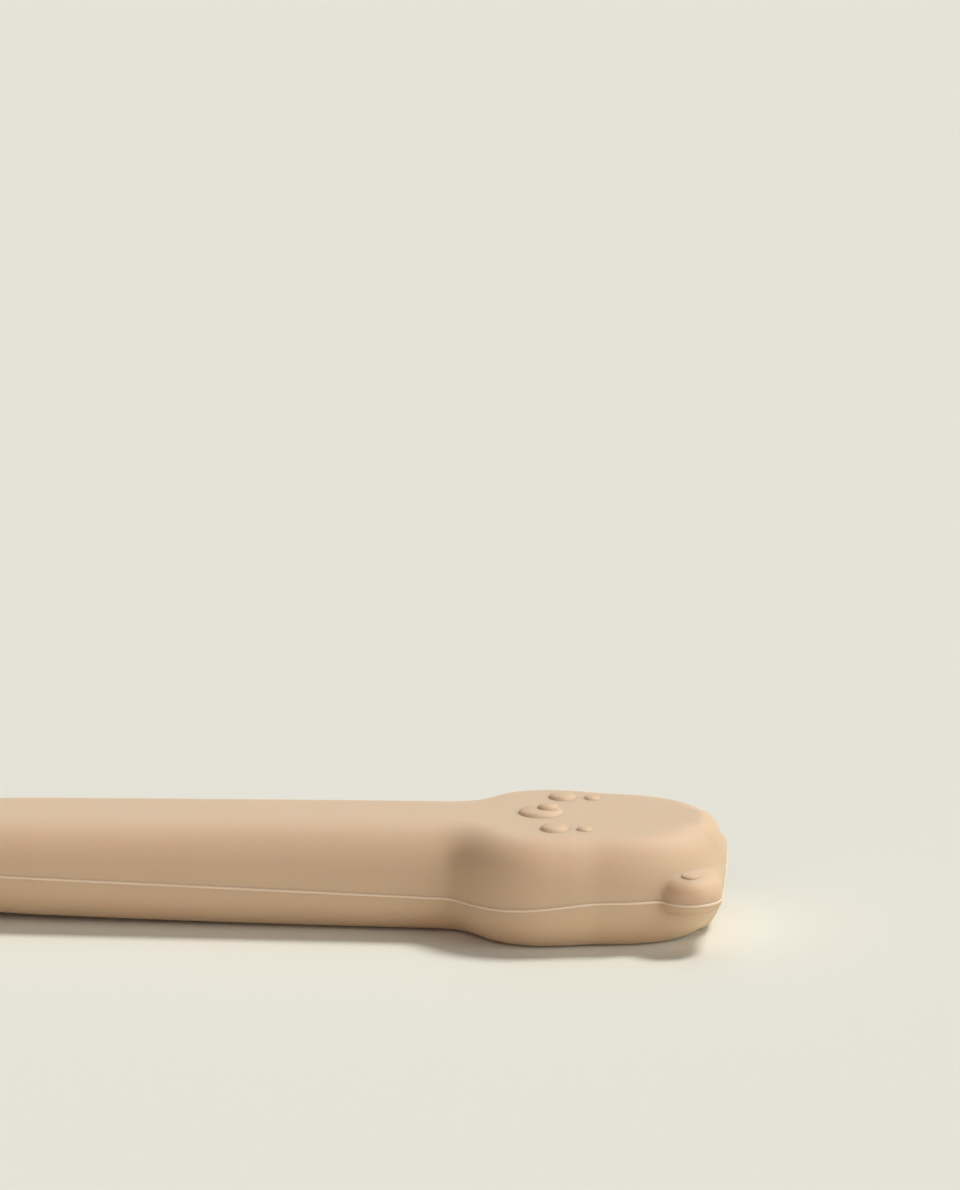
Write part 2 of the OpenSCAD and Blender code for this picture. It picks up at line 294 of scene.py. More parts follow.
@dataclass
class GripAndHead:
    """Handle and head: one bar whose rounded section follows its outline from above."""

    root_x: float
    neck_x: float
    crown_x: float
    face_height: float
    jowl_width: float
    jowl_length: float = 22.4
    jowl_setback: float = 18.0
    crown_width: float = 23.2
    crown_length: float = 14.0
    crown_power: float = 2.5
    dent_blend: float = 1.5
    handle_width: float = 16.2
    root_width: float = 12.4
    narrowing_start: float = 0.5
    neck_crease: float = 1.5
    neck_blend: float = 6.0
    top_fall: float = 1.2
    top_power: float = 1.2
    neck_gap: float = 0.1
    under_rise: float = 1.7
    under_power: float = 2.2
    neck_parting: float = 4.3
    parting_rise: float = 2.0
    crown_parting: float = 5.1
    handle_top_round: float = 5.4
    handle_under_round: float = 4.5
    face_round: float = 4.2
    base_round: float = 3.8
    tip_round: float = 2.9
    upper_power: float = 2.3
    lower_power: float = 2.0
    sharp: float = 0.01
    root_overlap: float = 12.0
    outline_points: int = 2400
    plan_step: float = 0.2
    plan_margin: float = 6.0
    plan_edge: float = 0.001

    @classmethod
    def from_frame(cls) -> "GripAndHead":
        """Takes the bar's main places from the CAD nodes.

        Returns:
            The bar, with its other sizes as the class gives them.
        """
        head = Extent.of("bear_head")
        return cls(
            root_x=Extent.of("soft_bowl").high[0],
            neck_x=head.low[0],
            crown_x=head.high[0],
            face_height=head.high[2],
            jowl_width=head.size[1],
        )

    @property
    def jowl_x(self) -> float:
        """Place of the widest part of the jowls."""
        return self.crown_x - self.jowl_setback

    def along(self, x: np.ndarray) -> np.ndarray:
        """Place along the handle, from 0 at the neck to 1 at the bowl."""
        return np.maximum(0, (self.neck_x - x) / (self.neck_x - self.root_x))

    def in_head(self, x: np.ndarray) -> np.ndarray:
        """Place in the passage from the handle's section to the head's."""
        return (x - self.neck_x) / self.neck_blend

    def handle_half(self, x: np.ndarray) -> np.ndarray:
        """Half-width of the handle."""
        share = (self.along(x) - self.narrowing_start) / (1 - self.narrowing_start)
        return blend(self.handle_width, self.root_width, share) / 2

    def jowl_half(self, x: np.ndarray) -> np.ndarray:
        """Half-width of the round jowls."""
        return bulge(self.jowl_width / 2, (x - self.jowl_x) / (self.jowl_length / 2), ELLIPSE)

    def crown_half(self, x: np.ndarray) -> np.ndarray:
        """Half-width of the crown."""
        share = np.maximum(0, (x - self.crown_x + self.crown_length) / self.crown_length)
        return bulge(self.crown_width / 2, share, self.crown_power)

    def dent_fade(self, x: np.ndarray) -> np.ndarray:
        """Softness of the dent between jowls and crown, which fades to nothing at both its ends.

        Args:
            x: Places along the spoon.

        Returns:
            One softness for each place.
        """
        rise = (x - self.jowl_x) / (self.jowl_setback - self.crown_length)
        fall = (self.crown_x - self.crown_length / 2 - x) / (self.crown_length / 2)
        return np.maximum(self.sharp, self.dent_blend * ease(rise) * ease(fall))

    def half_width(self, x: np.ndarray) -> np.ndarray:
        """Half-width of the outline from above.

        Args:
            x: Places along the spoon.

        Returns:
            One half-width for each place.
        """
        jowl = self.jowl_half(x)
        crown = self.crown_half(x)
        behind = soft_max(jowl, self.handle_half(x), self.neck_crease)
        ahead = soft_max(jowl, crown, self.dent_fade(x))
        past_jowls = x >= self.jowl_x + self.jowl_length / 2
        return np.where(x < self.jowl_x, behind, np.where(past_jowls, crown, ahead))

    def top_z(self, x: np.ndarray) -> np.ndarray:
        """Height of the flat top."""
        return self.face_height - self.top_fall * self.along(x) ** self.top_power

    def under_z(self, x: np.ndarray) -> np.ndarray:
        """Height of the flat underside."""
        return blend(self.neck_gap, 0, self.in_head(x)) + self.under_rise * self.along(x) ** self.under_power

    def parting_z(self, x: np.ndarray) -> np.ndarray:
        """Height of the mould's parting line.

        Args:
            x: Places along the spoon.

        Returns:
            One height for each place.
        """
        on_handle = self.neck_parting + self.parting_rise * self.along(x)
        on_head = blend(self.neck_parting, self.crown_parting, (self.in_head(x) - 1) / 2)
        return np.where(x < self.neck_x, on_handle, on_head)

    def rounding(self, x: np.ndarray, zone: Zone) -> np.ndarray:
        """Width of the rounded edge above or below the parting line.

        Args:
            x: Places along the spoon.
            zone: Half of the section that the edge is in.

        Returns:
            One width for each place.
        """
        if zone is Zone.UPPER:
            width = blend(self.handle_top_round, self.face_round, self.in_head(x))
        else:
            width = blend(self.handle_under_round, self.base_round, self.in_head(x))
        return np.minimum(width, np.maximum(self.tip_round, self.half_width(x)))

    @cached_property
    def outline(self) -> tuple[np.ndarray, np.ndarray]:
        """One half of the outline from above, from the bowl to the crown.

        Returns:
            Its points, closer together at the crown, and their outward normals.
        """
        start = self.root_x - self.root_overlap
        angle = np.linspace(0, math.pi / 2, self.outline_points)
        x = start + (self.crown_x - start) * np.sin(angle)
        points = np.stack([x, self.half_width(x)], -1)
        run = np.gradient(points, axis=0)
        run[-1] = (0, -1)
        run /= np.linalg.norm(run, axis=1)[:, None]
        return points, np.stack([-run[:, 1], run[:, 0]], -1)

    @cached_property
    def plan(self) -> np.ndarray:
        """Grid over one half of the plan.

        Returns:
            At each grid point, the distance outwards from the outline and the place of its nearest point.
        """
        points, normals = self.outline
        x = np.arange(points[0, 0], self.crown_x + self.plan_margin, self.plan_step)
        y = np.arange(0, self.jowl_width / 2 + self.plan_margin, self.plan_step)
        table = np.zeros((len(x), len(y), 2))
        reach = self.jowl_width / 2 + 2 * self.plan_margin
        for i, place in enumerate(x):
            near = np.abs(points[:, 0] - place) < reach
            offset = np.stack(np.broadcast_arrays(place, y), -1)[:, None] - points[near]
            best = np.argmin((offset**2).sum(-1), axis=1)
            gap = np.take_along_axis(offset, best[:, None, None], 1)[:, 0]
            across = (gap * normals[near][best]).sum(-1)
            far = np.linalg.norm(gap, axis=1)
            table[i, :, 0] = np.where(far < 2 * self.plan_step, across, np.sign(across) * far)
            table[i, :, 1] = points[near][best][:, 0]
        return table

    def look_up(self, x: np.ndarray, y: np.ndarray) -> tuple[np.ndarray, np.ndarray]:
        """Reads the plan between its grid points.

        Args:
            x: Places along the spoon.
            y: Places across the spoon.

        Returns:
            Distance outwards from the outline, and place along the spoon of the outline's nearest point.
        """
        table = self.plan
        u = np.clip((x - self.outline[0][0, 0]) / self.plan_step, 0, table.shape[0] - 1 - self.plan_edge)
        v = np.clip(np.abs(y) / self.plan_step, 0, table.shape[1] - 1 - self.plan_edge)
        i, j = u.astype(int), v.astype(int)
        s, t = (u - i)[..., None], (v - j)[..., None]
        low = table[i, j] * (1 - s) + table[i + 1, j] * s
        high = table[i, j + 1] * (1 - s) + table[i + 1, j + 1] * s
        found = low * (1 - t) + high * t
        return found[..., 0], found[..., 1]

    def distance(self, points: np.ndarray) -> np.ndarray:
        """Distance outwards from the bar's surface, true near the surface.

        Args:
            points: Places in millimetres, in the last axis.

        Returns:
            One distance for each place.
        """
        x, y, z = np.moveaxis(points, -1, 0)
        outward, station = self.look_up(x, y)
        parting = self.parting_z(x)
        above = z > parting
        power = np.where(above, self.upper_power, self.lower_power)
        width = np.where(above, self.rounding(station, Zone.UPPER), self.rounding(station, Zone.LOWER))
        reach = np.where(above, self.top_z(x) - parting, parting - self.under_z(x))
        return oval_distance(1 + outward / width, np.abs(z - parting) / reach, width, reach, power)


@dataclass
class Bowl:
    """Bowl of the spoon: a round hollow with a thick soft rim, on a small flat foot."""

    middle_x: float
    length: float
    width: float
    rim_height: float
    power: float = 2.2
    rim_wall: float = 2.2
    floor_wall: float = 2.5
    foot_length: float = 12.0

    @classmethod
    def from_frame(cls) -> "Bowl":
        """Takes the bowl's place and size from its CAD node.

        Returns:
            The bowl, with its walls and foot as the class gives them.
        """
        node = Extent.of("soft_bowl")
        return cls(
            middle_x=node.middle[0],
            length=node.size[0],
            width=node.size[1],
            rim_height=node.high[2],
        )

    @property
    def lip_z(self) -> float:
        """Height at which the rim starts to round over."""
        return self.rim_height - self.rim_wall / 2

    def round_wall(self, points: np.ndarray, inset: float, low: float) -> np.ndarray:
        """Distance outwards from a round wall that stands on a flat and is upright above the lip.

        Args:
            points: Places in millimetres, in the last axis.
            inset: Distance inwards from the bowl's outline.
            low: Height of the flat.

        Returns:
            One distance for each place.
        """
        x, y, z = np.moveaxis(points, -1, 0)
        half_x, half_y = self.length / 2 - inset, self.width / 2 - inset
        flat = self.foot_length / self.length
        u = np.abs(x - self.middle_x) / half_x + TINY
        v = np.abs(y) / half_y + TINY
        radius = (u**self.power + v**self.power) ** (1 / self.power)
        steep = self.power - 1
        spread = np.hypot((u / radius) ** steep / half_x, (v / radius) ** steep / half_y) / (1 - flat)
        side = np.maximum(0, (radius - flat) / (1 - flat))
        drop = np.maximum(0, (self.lip_z - z) / (self.lip_z - low))
        ratio = np.hypot(side, drop) + TINY
        slope = np.hypot(side / ratio * spread, drop / ratio / (self.lip_z - low))
        return (ratio - 1) / np.maximum(slope, 1 / self.length)

    def distances(self, points: np.ndarray) -> tuple[np.ndarray, np.ndarray, np.ndarray]:
        """Distances from the bowl's surfaces.

        Args:
            points: Places in millimetres, in the last axis.

        Returns:
            Distances outwards from the whole wall, from the middle of the wall, and from the hollow.
        """
        outer = self.round_wall(points, 0, 0)
        hollow = self.round_wall(points, self.rim_wall, self.floor_wall)
        middle = (outer + hollow) / 2
        half_wall = (hollow - outer) / 2
        over_lip = np.maximum(0, points[..., 2] - self.lip_z)
        return np.hypot(middle, over_lip) - half_wall, middle, hollow


@dataclass
class Ears:
    """Pair of round ears, thick discs with rounded rims that stand out of the two corners of the crown."""

    x: float
    y: float
    z: float
    size: float = 6.2
    depth: float = 4.0
    rise: float = 2.4
    drop: float = 1.3
    power: float = 3.0

    @classmethod
    def from_frame(cls) -> "Ears":
        """Takes the ears' place from the CAD nodes.

        Returns:
            The pair of ears, with its other sizes as the class gives them.
        """
        node = Extent.of("left_ear")
        reach = cls.size / 2
        return cls(x=node.high[0] - reach, y=node.high[1] - reach, z=node.high[2] - cls.rise)

    @property
    def top_z(self) -> float:
        """Height of the flat tops."""
        return self.z + self.rise

    def distance(self, points: np.ndarray) -> np.ndarray:
        """Distance outwards from the nearer ear.

        Args:
            points: Places in millimetres, in the last axis.

        Returns:
            One distance for each place.
        """
        x, y, z = np.moveaxis(points, -1, 0)
        reach = self.size / 2
        height = np.where(z > self.z, self.rise, self.drop)
        out = np.abs(y) - self.y
        across = np.hypot(x - self.x, np.where(out > 0, out, np.minimum(0, out + self.depth)))
        return oval_distance(across / reach, np.abs(z - self.z) / height, reach, height, self.power)


def surface_net(values: np.ndarray) -> tuple[np.ndarray, np.ndarray]:
    """Quads round the places of a grid where its values change sign.

    Args:
        values: Values at the grid's points, negative inside.

    Returns:
        Middles of the cells that the surface crosses, in grid steps, and rings of four point numbers.
    """
    inside = values < 0
    count = np.zeros(tuple(n - 1 for n in values.shape), np.int8)
    for corner in np.ndindex(2, 2, 2):
        count += inside[tuple(slice(c, c + n - 1) for c, n in zip(corner, values.shape))]
    crossed = (count > 0) & (count < 8)
    number = np.full(crossed.shape, -1)
    number[crossed] = np.arange(crossed.sum())
    quads = []
    for axis, flipped in ((0, False), (1, True), (2, False)):
        turned = np.moveaxis(inside, axis, 0)[:, 1:-1, 1:-1]
        cells = np.moveaxis(number, axis, 0)
        ring = np.stack([cells[:, :-1, :-1], cells[:, 1:, :-1], cells[:, 1:, 1:], cells[:, :-1, 1:]], -1)
        step = -1 if flipped else 1
        quads.append(ring[turned[:-1] & ~turned[1:]][:, ::step])
        quads.append(ring[~turned[:-1] & turned[1:]][:, ::-step])
    return np.argwhere(crossed) + 0.5, np.concatenate(quads)


@dataclass
class SiliconeMoulding:
    """Silicone of the spoon: bowl, handle, head and ears in one skin with soft passages between them."""

    bar: GripAndHead
    bowl: Bowl
    ears: Ears
    root_fillet: float = 4.0
    rim_fillet: float = 1.0
    ear_crease: float = 0.35
    ear_merge: float = 1.0
    cell: float = 0.36
    margin: float = 1.5
    probe: float = 0.02
    settle_rounds: int = 3
    even_rounds: int = 2

    def distance(self, points: np.ndarray) -> np.ndarray:
        """Distance outwards from the skin.

        Args:
            points: Places in millimetres, in the last axis.

        Returns:
            One distance for each place.
        """
        wall, wall_middle, hollow = self.bowl.distances(points)
        outside_bowl = np.maximum(-wall_middle, self.bowl.middle_x - points[..., 0])
        bar = np.maximum(self.bar.distance(points), outside_bowl)
        height = points[..., 2] / self.bowl.lip_z
        passage = blend(self.root_fillet, self.rim_fillet, 2 * height - 1)
        body = np.maximum(soft_min(bar, wall, passage), -hollow)
        forward = 2 * (points[..., 0] - self.ears.x) / self.ears.size
        crease = blend(self.ear_crease, self.ear_merge, forward)
        whole = soft_min(body, self.ears.distance(points), crease)
        return np.maximum(whole, -points[..., 2])

    def gradient(self, points: np.ndarray) -> np.ndarray:
        """Direction and rate in which the distance grows.

        Args:
            points: Places in millimetres, one a row.

        Returns:
            One vector for each place.
        """
        shifts = self.probe * np.concatenate([np.eye(3), -np.eye(3)])
        values = self.distance(points[None] + shifts[:, None])
        return ((values[:3] - values[3:]) / (2 * self.probe)).T

    def settle(self, points: np.ndarray) -> np.ndarray:
        """Moves places that lie near the skin onto it.

        Args:
            points: Places in millimetres, one a row.

        Returns:
            Places on the skin.
        """
        for _ in range(self.settle_rounds):
            slope = self.gradient(points)
            steep = np.maximum(TINY, (slope**2).sum(-1))
            points = points - (self.distance(points) / steep)[:, None] * slope
        return points

    def even_out(self, points: np.ndarray, quads: np.ndarray) -> np.ndarray:
        """Spaces the points of the skin more evenly.

        Args:
            points: Places on the skin in millimetres.
            quads: Rings of four point numbers.

        Returns:
            Places on the skin.
        """
        ends = np.concatenate([quads, np.roll(quads, 1, axis=1)]).ravel()
        others = np.concatenate([np.roll(quads, 1, axis=1), quads]).ravel()
        total = np.bincount(ends, minlength=len(points))[:, None]
        for _ in range(self.even_rounds):
            sums = [np.bincount(ends, points[others, k], len(points)) for k in range(3)]
            points = self.settle((points + np.stack(sums, -1) / total) / 2)
        return points

    def mesh(self) -> tuple[np.ndarray, np.ndarray]:
        """Lays a net of points over the whole skin.

        Returns:
            Points in millimetres, and rings of four point numbers.
        """
        low = np.array([self.bowl.middle_x - self.bowl.length / 2, 0, 0]) - self.margin
        high = np.array([self.bar.crown_x, self.bowl.width / 2, self.bar.face_height]) + self.margin
        axes = [np.arange(a, b, self.cell) for a, b in zip(low, high)]
        axes[1] = np.arange(0, high[1], self.cell)
        values = self.distance(np.stack(np.meshgrid(*axes, indexing="ij"), -1))
        whole = np.concatenate([values[:, :0:-1], values], axis=1)
        cells, quads = surface_net(whole)
        start = np.array([axes[0][0], -axes[1][-1], axes[2][0]])
        points = self.settle(start + cells * self.cell)
        return self.even_out(points, quads), quads

    def build(self, material: bpy.types.Material) -> bpy.types.Object:
        """Makes the skin, which stands for every plain form of the moulding.

        Args:
            material: Finish of the silicone.

        Returns:
            The skin, fixed to the spoon.
        """
        points, quads = self.mesh()
        piece = new_piece("silicone_moulding", points, [], quads.tolist())
        piece.data.shade_smooth()
        piece.data.materials.append(material)
        nodes = ("grip_sleeve", "soft_bowl", "bear_head", "left_ear", "right_ear")
        return hand_over(piece, Slot.SILICONE, *nodes)


@dataclass
class PartingLine:
    """Thin raised line that the two halves of the mould leave round the whole spoon."""

    moulding: SiliconeMoulding
    width: float = 0.27
    height: float = 0.22
    step: float = 0.4
    climb_length: float = 18.0
    profile_points: int = 12
    correction_rounds: int = 2

    def line_z(self, x: np.ndarray) -> np.ndarray:
        """Height of the line, which climbs from the handle's side to the bowl's rim.

        Args:
            x: Places along the spoon.

        Returns:
            One height for each place.
        """
        bar, bowl = self.moulding.bar, self.moulding.bowl
        share = (bar.root_x + self.climb_length / 2 - x) / self.climb_length
        return bar.parting_z(x) + (bowl.lip_z - bar.parting_z(x)) * ease(share)

    def level_slope(self, x: float) -> np.ndarray:
        """Vector in which the height above the line grows.

        Args:
            x: Place along the spoon.

        Returns:
            The vector, whose upright part is 1.
        """
        probe = self.moulding.probe
        rise = (self.line_z(np.array(x + probe)) - self.line_z(np.array(x - probe))) / (2 * probe)
        return np.array([-rise, 0, 1])

    def correct(self, point: np.ndarray) -> np.ndarray:
        """Moves a place that lies near the line onto it.

        Args:
            point: Place in millimetres.

        Returns:
            Place on the line.
        """
        for _ in range(self.correction_rounds):
            slopes = np.stack([self.moulding.gradient(point[None])[0], self.level_slope(point[0])])
            miss = np.array([self.moulding.distance(point[None])[0], point[2] - self.line_z(point[0])])
            point = point - np.linalg.pinv(slopes) @ miss
        return point

    def trace(self) -> np.ndarray:
        """Follows the line from the crown along the left side to the bowl's tip, and back on the right.

        Returns:
            Points of the closed line in millimetres.
        """
        crown_x = self.moulding.bar.crown_x
        point = self.correct(np.array([crown_x, 0, self.line_z(np.array(crown_x))]))
        points = []
        while point[1] >= 0 or not points:
            points.append(point)
            normal = self.moulding.gradient(point[None])[0]
            heading = np.cross(self.level_slope(point[0]), normal)
            point = self.correct(point + self.step * heading / np.linalg.norm(heading))
        left = np.array(points)
        right = left[:0:-1] * (1, -1, 1)
        return np.concatenate([left, right])

    def build(self, material: bpy.types.Material) -> bpy.types.Object:
        """Sweeps the line's small oval section along its path.

        Args:
            material: Finish of the line.

        Returns:
            The line, fixed to the spoon.
        """
        points = self.trace()
        count = len(points)
        edges = [(i, (i + 1) % count) for i in range(count)]
        piece = new_piece("parting_line", points, edges, [])
        sizes = {"Width": self.width * MM, "Height": self.height * MM}
        graph = GeometryGraph("line_along_path", sizes, {"Profile Points": self.profile_points})
        given = graph.given
        curve = graph.add("GeometryNodeMeshToCurve", {"Mesh": given["Geometry"]})
        upright = graph.add("GeometryNodeSetCurveNormal", {"Curve": curve.outputs[0]}, mode="Z_UP")
        circle = graph.add(
            "GeometryNodeCurvePrimitiveCircle", {"Resolution": given["Profile Points"], "Radius": 0.5}
        )
        oval = graph.add("ShaderNodeCombineXYZ", {"X": given["Height"], "Y": given["Width"], "Z": 1.0})
        profile = graph.add(
            "GeometryNodeTransform", {"Geometry": circle.outputs[0], "Scale": oval.outputs[0]}
        )
        swept = graph.add(
            "GeometryNodeCurveToMesh", {"Curve": upright.outputs[0], "Profile Curve": profile.outputs[0]}
        )
        graph.close(swept.outputs[0])
        return hand_over(graph.run(piece, material), Slot.SILICONE)


@dataclass
class RaisedOval:
    """Oval button, single or one on each side, with a rounded top and a small flare at its foot."""

    node: str
    middle: Point
    length: float
    width: float
    height: float
    copies: int
    power: float = 2.8
    flare: float = 0.12
    flare_rise: float = 2.0
    sink: float = 0.4
    pole_radius: float = 1e-5
    segments: int = 56
    rings: int = 36

    @classmethod
    def single(cls, node: str, base_z: float, **changes: float) -> "RaisedOval":
        """Takes an oval on the middle of the face from its CAD node.

        Args:
            node: CAD node that the oval stands for.
            base_z: Height of the face that it stands on.
            changes: Other values for the class's own sizes.

        Returns:
            The oval.
        """
        box = Extent.of(node)
        middle = (box.middle[0], 0.0, base_z)
        return cls(node, middle, box.size[0], box.size[1], box.high[2] - base_z, 1, **changes)

    @classmethod
    def pair(cls, node: str, base_z: float, **changes: float) -> "RaisedOval":
        """Takes two round ovals from the CAD node that holds both.

        Args:
            node: CAD node that the oval stands for.
            base_z: Height of the face that it stands on.
            changes: Other values for the class's own sizes.

        Returns:
            The pair.
        """
        box = Extent.of(node)
        size = box.size[0]
        middle = (box.middle[0], box.high[1] - size / 2, base_z)
        return cls(node, middle, size, size, box.high[2] - base_z, 2, **changes)

    def shape(self, graph: GeometryGraph) -> bpy.types.NodeSocket:
        """Adds the nodes that press a ball into the oval's shape.

        Args:
            graph: Tree to work in.

        Returns:
            Socket with one oval that stands on the origin.
        """
        given = graph.given
        ball = graph.add(
            "GeometryNodeMeshUVSphere",
            {"Segments": given["Segments"], "Rings": given["Rings"], "Radius": 1.0},
        )
        place = graph.add("ShaderNodeSeparateXYZ", {0: graph.add("GeometryNodeInputPosition").outputs[0]})
        x, y, z = place.outputs
        squares = [graph.math("MULTIPLY", side, side) for side in (x, y)]
        radius = graph.math("SQRT", graph.math("ADD", *squares))
        radius = graph.math("MAXIMUM", radius, self.pole_radius)
        squareness = graph.math("DIVIDE", 2.0, given["Power"])
        spread = graph.math("POWER", radius, graph.math("SUBTRACT", squareness, 1.0))
        lift = graph.math("POWER", graph.math("ABSOLUTE", z), squareness)
        above = graph.math("GREATER_THAN", z, 0.0)
        up = graph.math("MULTIPLY", graph.math("MULTIPLY", lift, given["Height"]), above)
        under = graph.math("SUBTRACT", 1.0, above)
        down = graph.math("MULTIPLY", graph.math("MULTIPLY", lift, given["Sink"]), under)
        level = graph.math("SUBTRACT", up, down)
        flare_height = graph.math("MULTIPLY", given["Flare"], self.flare_rise)
        near_foot = graph.math("SUBTRACT", 1.0, graph.math("DIVIDE", up, flare_height))
        near_foot = graph.math("MAXIMUM", near_foot, 0.0)
        flare = graph.math("MULTIPLY", graph.math("MULTIPLY", near_foot, near_foot), given["Flare"])
        reach_x = graph.math("ADD", graph.math("MULTIPLY", given["Length"], 0.5), flare)
        reach_y = graph.math("ADD", graph.math("MULTIPLY", given["Width"], 0.5), flare)
        pressed = graph.add(
            "ShaderNodeCombineXYZ",
            {
                "X": graph.math("MULTIPLY", graph.math("MULTIPLY", x, spread), reach_x),
                "Y": graph.math("MULTIPLY", graph.math("MULTIPLY", y, spread), reach_y),
                "Z": level,
            },
        )
        moved = graph.add(
            "GeometryNodeSetPosition", {"Geometry": ball.outputs[0], "Position": pressed.outputs[0]}
        )
        return moved.outputs[0]

    def build(self, material: bpy.types.Material) -> bpy.types.Object:
        """Presses the oval and sets it on its places.

        Args:
            material: Finish of the oval.

        Returns:
            The oval or the pair, fixed to the spoon.
        """
        sizes = {
            "Length": self.length * MM,
            "Width": self.width * MM,
            "Height": self.height * MM,
            "Power": self.power,
            "Flare": self.flare * MM,
            "Sink": self.sink * MM,
            "Middle X": self.middle[0] * MM,
            "Middle Y": self.middle[1] * MM,
            "Base Z": self.middle[2] * MM,
        }
        counts = {"Copies": self.copies, "Segments": self.segments, "Rings": self.rings}
        graph = GeometryGraph("raised_oval", sizes, counts)
        given = graph.given
        right = graph.math("MULTIPLY", given["Middle Y"], -1.0)
        start = graph.add(
            "ShaderNodeCombineXYZ", {"X": given["Middle X"], "Y": right, "Z": given["Base Z"]}
        )
        across = graph.add("ShaderNodeCombineXYZ", {"Y": graph.math("MULTIPLY", given["Middle Y"], 2.0)})
        places = graph.add(
            "GeometryNodeMeshLine",
            {"Count": given["Copies"], "Start Location": start.outputs[0], "Offset": across.outputs[0]},
        )
        placed = graph.add(
            "GeometryNodeInstanceOnPoints", {"Points": places.outputs[0], "Instance": self.shape(graph)}
        )
        graph.close(placed.outputs[0])
        piece = new_piece("raised_" + self.node, np.zeros((0, 3)), [], [])
        return hand_over(graph.run(piece, material), Slot.SILICONE, self.node)


@dataclass(frozen=True)
class MouldedSurface:
    """Surface of every moulded finish: slow mottling of its colour, fine grain and a few dust specks."""

    mottle_detail: float = 3.0
    grain_detail: float = 2.0
    grain_on_roughness: float = 2.0
    speck_share: float = 0.3
    dust: Colour = (0.9, 0.88, 0.84)

    def sockets(self, tree: bpy.types.NodeTree) -> None:
        """Gives a group its inputs and outputs.

        Args:
            tree: The new group.
        """
        patterns = ("Mottle Scale", "Mottle", "Grain Scale", "Grain", "Speck Scale", "Speck Size", "Speck")
        for way, names in (("INPUT", ("Roughness", *patterns)), ("OUTPUT", ("Roughness", "Height"))):
            tree.interface.new_socket("Color", in_out=way, socket_type="NodeSocketColor")
            for name in names:
                tree.interface.new_socket(name, in_out=way, socket_type="NodeSocketFloat")

    def group(self) -> bpy.types.NodeTree:
        """Makes the shader group.

        Returns:
            The group, with a Color, a Roughness and a Height output.
        """
        tree = bpy.data.node_groups.new("moulded_surface", "ShaderNodeTree")
        self.sockets(tree)
        graph = Graph(tree)
        given = graph.add("NodeGroupInput").outputs
        place = graph.add("ShaderNodeTexCoord").outputs["Object"]
        heights, swings = {}, {}
        for name, detail in (("Mottle", self.mottle_detail), ("Grain", self.grain_detail)):
            size = given[name + " Scale"]
            noise = graph.add("ShaderNodeTexNoise", {"Vector": place, "Scale": size, "Detail": detail})
            heights[name] = noise.outputs["Fac"]
            swings[name] = graph.math("MULTIPLY", graph.math("SUBTRACT", heights[name], 0.5), given[name])
        value = graph.math("ADD", graph.math("ADD", swings["Mottle"], swings["Grain"]), 1.0)
        toned = graph.add("ShaderNodeHueSaturation", {"Value": value, "Color": given["Color"]})
        cells = graph.add("ShaderNodeTexVoronoi", {"Vector": place, "Scale": given["Speck Scale"]}).outputs
        draw = graph.add("ShaderNodeSeparateColor", {"Color": cells["Color"]}).outputs[0]
        chosen = graph.math("GREATER_THAN", draw, 1 - self.speck_share)
        close_by = graph.math("LESS_THAN", cells["Distance"], given["Speck Size"])
        mask = graph.math("MULTIPLY", graph.math("MULTIPLY", chosen, close_by), given["Speck"])
        dusty = graph.add(
            "ShaderNodeMix",
            {"Factor": mask, MixSocket.FIRST: toned.outputs["Color"], MixSocket.SECOND: (*self.dust, 1.0)},
            data_type="RGBA",
        )
        change = graph.math("MULTIPLY", swings["Grain"], self.grain_on_roughness)
        rough = graph.math("ADD", given["Roughness"], change)
        colour = dusty.outputs[MixSocket.RESULT]
        graph.add("NodeGroupOutput", {"Color": colour, "Roughness": rough, "Height": heights["Grain"]})
        return tree


@dataclass(frozen=True)
class MouldedFinish:
    """Finish of a moulded material, with its mottling, grain and dust."""

    name: str
    colour: Colour
    roughness: float
    mottle_size: float
    mottle: float
    grain_size: float
    grain: float
    grain_depth: float
    speck_spacing: float
    speck_size: float
    speck: float
    ior: float = 1.41
    glow: float = 0.0
    glow_depth: float = 1.0
    glow_colour: Colour = (1.0, 0.5, 0.3)
    gloss: float = 0.5

    def material(self, group: bpy.types.NodeTree) -> bpy.types.Material:
        """Makes the material.

        Args:
            group: Shader group of a moulded surface.

        Returns:
            The material, with its patterns on Object coordinates.
        """
        made = bpy.data.materials.new(self.name)
        made.use_nodes = True
        graph = Graph(made.node_tree)
        graph.tree.nodes.clear()
        surface = graph.add("ShaderNodeGroup", node_tree=group)
        values = {
            "Color": (*self.colour, 1.0),
            "Mottle Scale": 1 / (self.mottle_size * MM),
            "Mottle": self.mottle,
            "Grain Scale": 1 / (self.grain_size * MM),
            "Grain": self.grain,
            "Roughness": self.roughness,
            "Speck Scale": 1 / (self.speck_spacing * MM),
            "Speck Size": self.speck_size / self.speck_spacing,
            "Speck": self.speck,
        }
        for name, value in values.items():
            surface.inputs[name].default_value = value
        bump = graph.add(
            "ShaderNodeBump",
            {"Height": surface.outputs["Height"], "Distance": self.grain_depth * MM, "Strength": 1.0},
        )
        shader = graph.add(
            "ShaderNodeBsdfPrincipled",
            {
                "Base Color": surface.outputs["Color"],
                "Roughness": surface.outputs["Roughness"],
                "Normal": bump.outputs["Normal"],
                "IOR": self.ior,
                "Subsurface Weight": self.glow,
                "Subsurface Scale": self.glow_depth * MM,
                "Subsurface Radius": self.glow_colour,
                "Specular IOR Level": self.gloss,
            },
        )
        graph.add("ShaderNodeOutputMaterial", {"Surface": shader.outputs["BSDF"]})
        return made


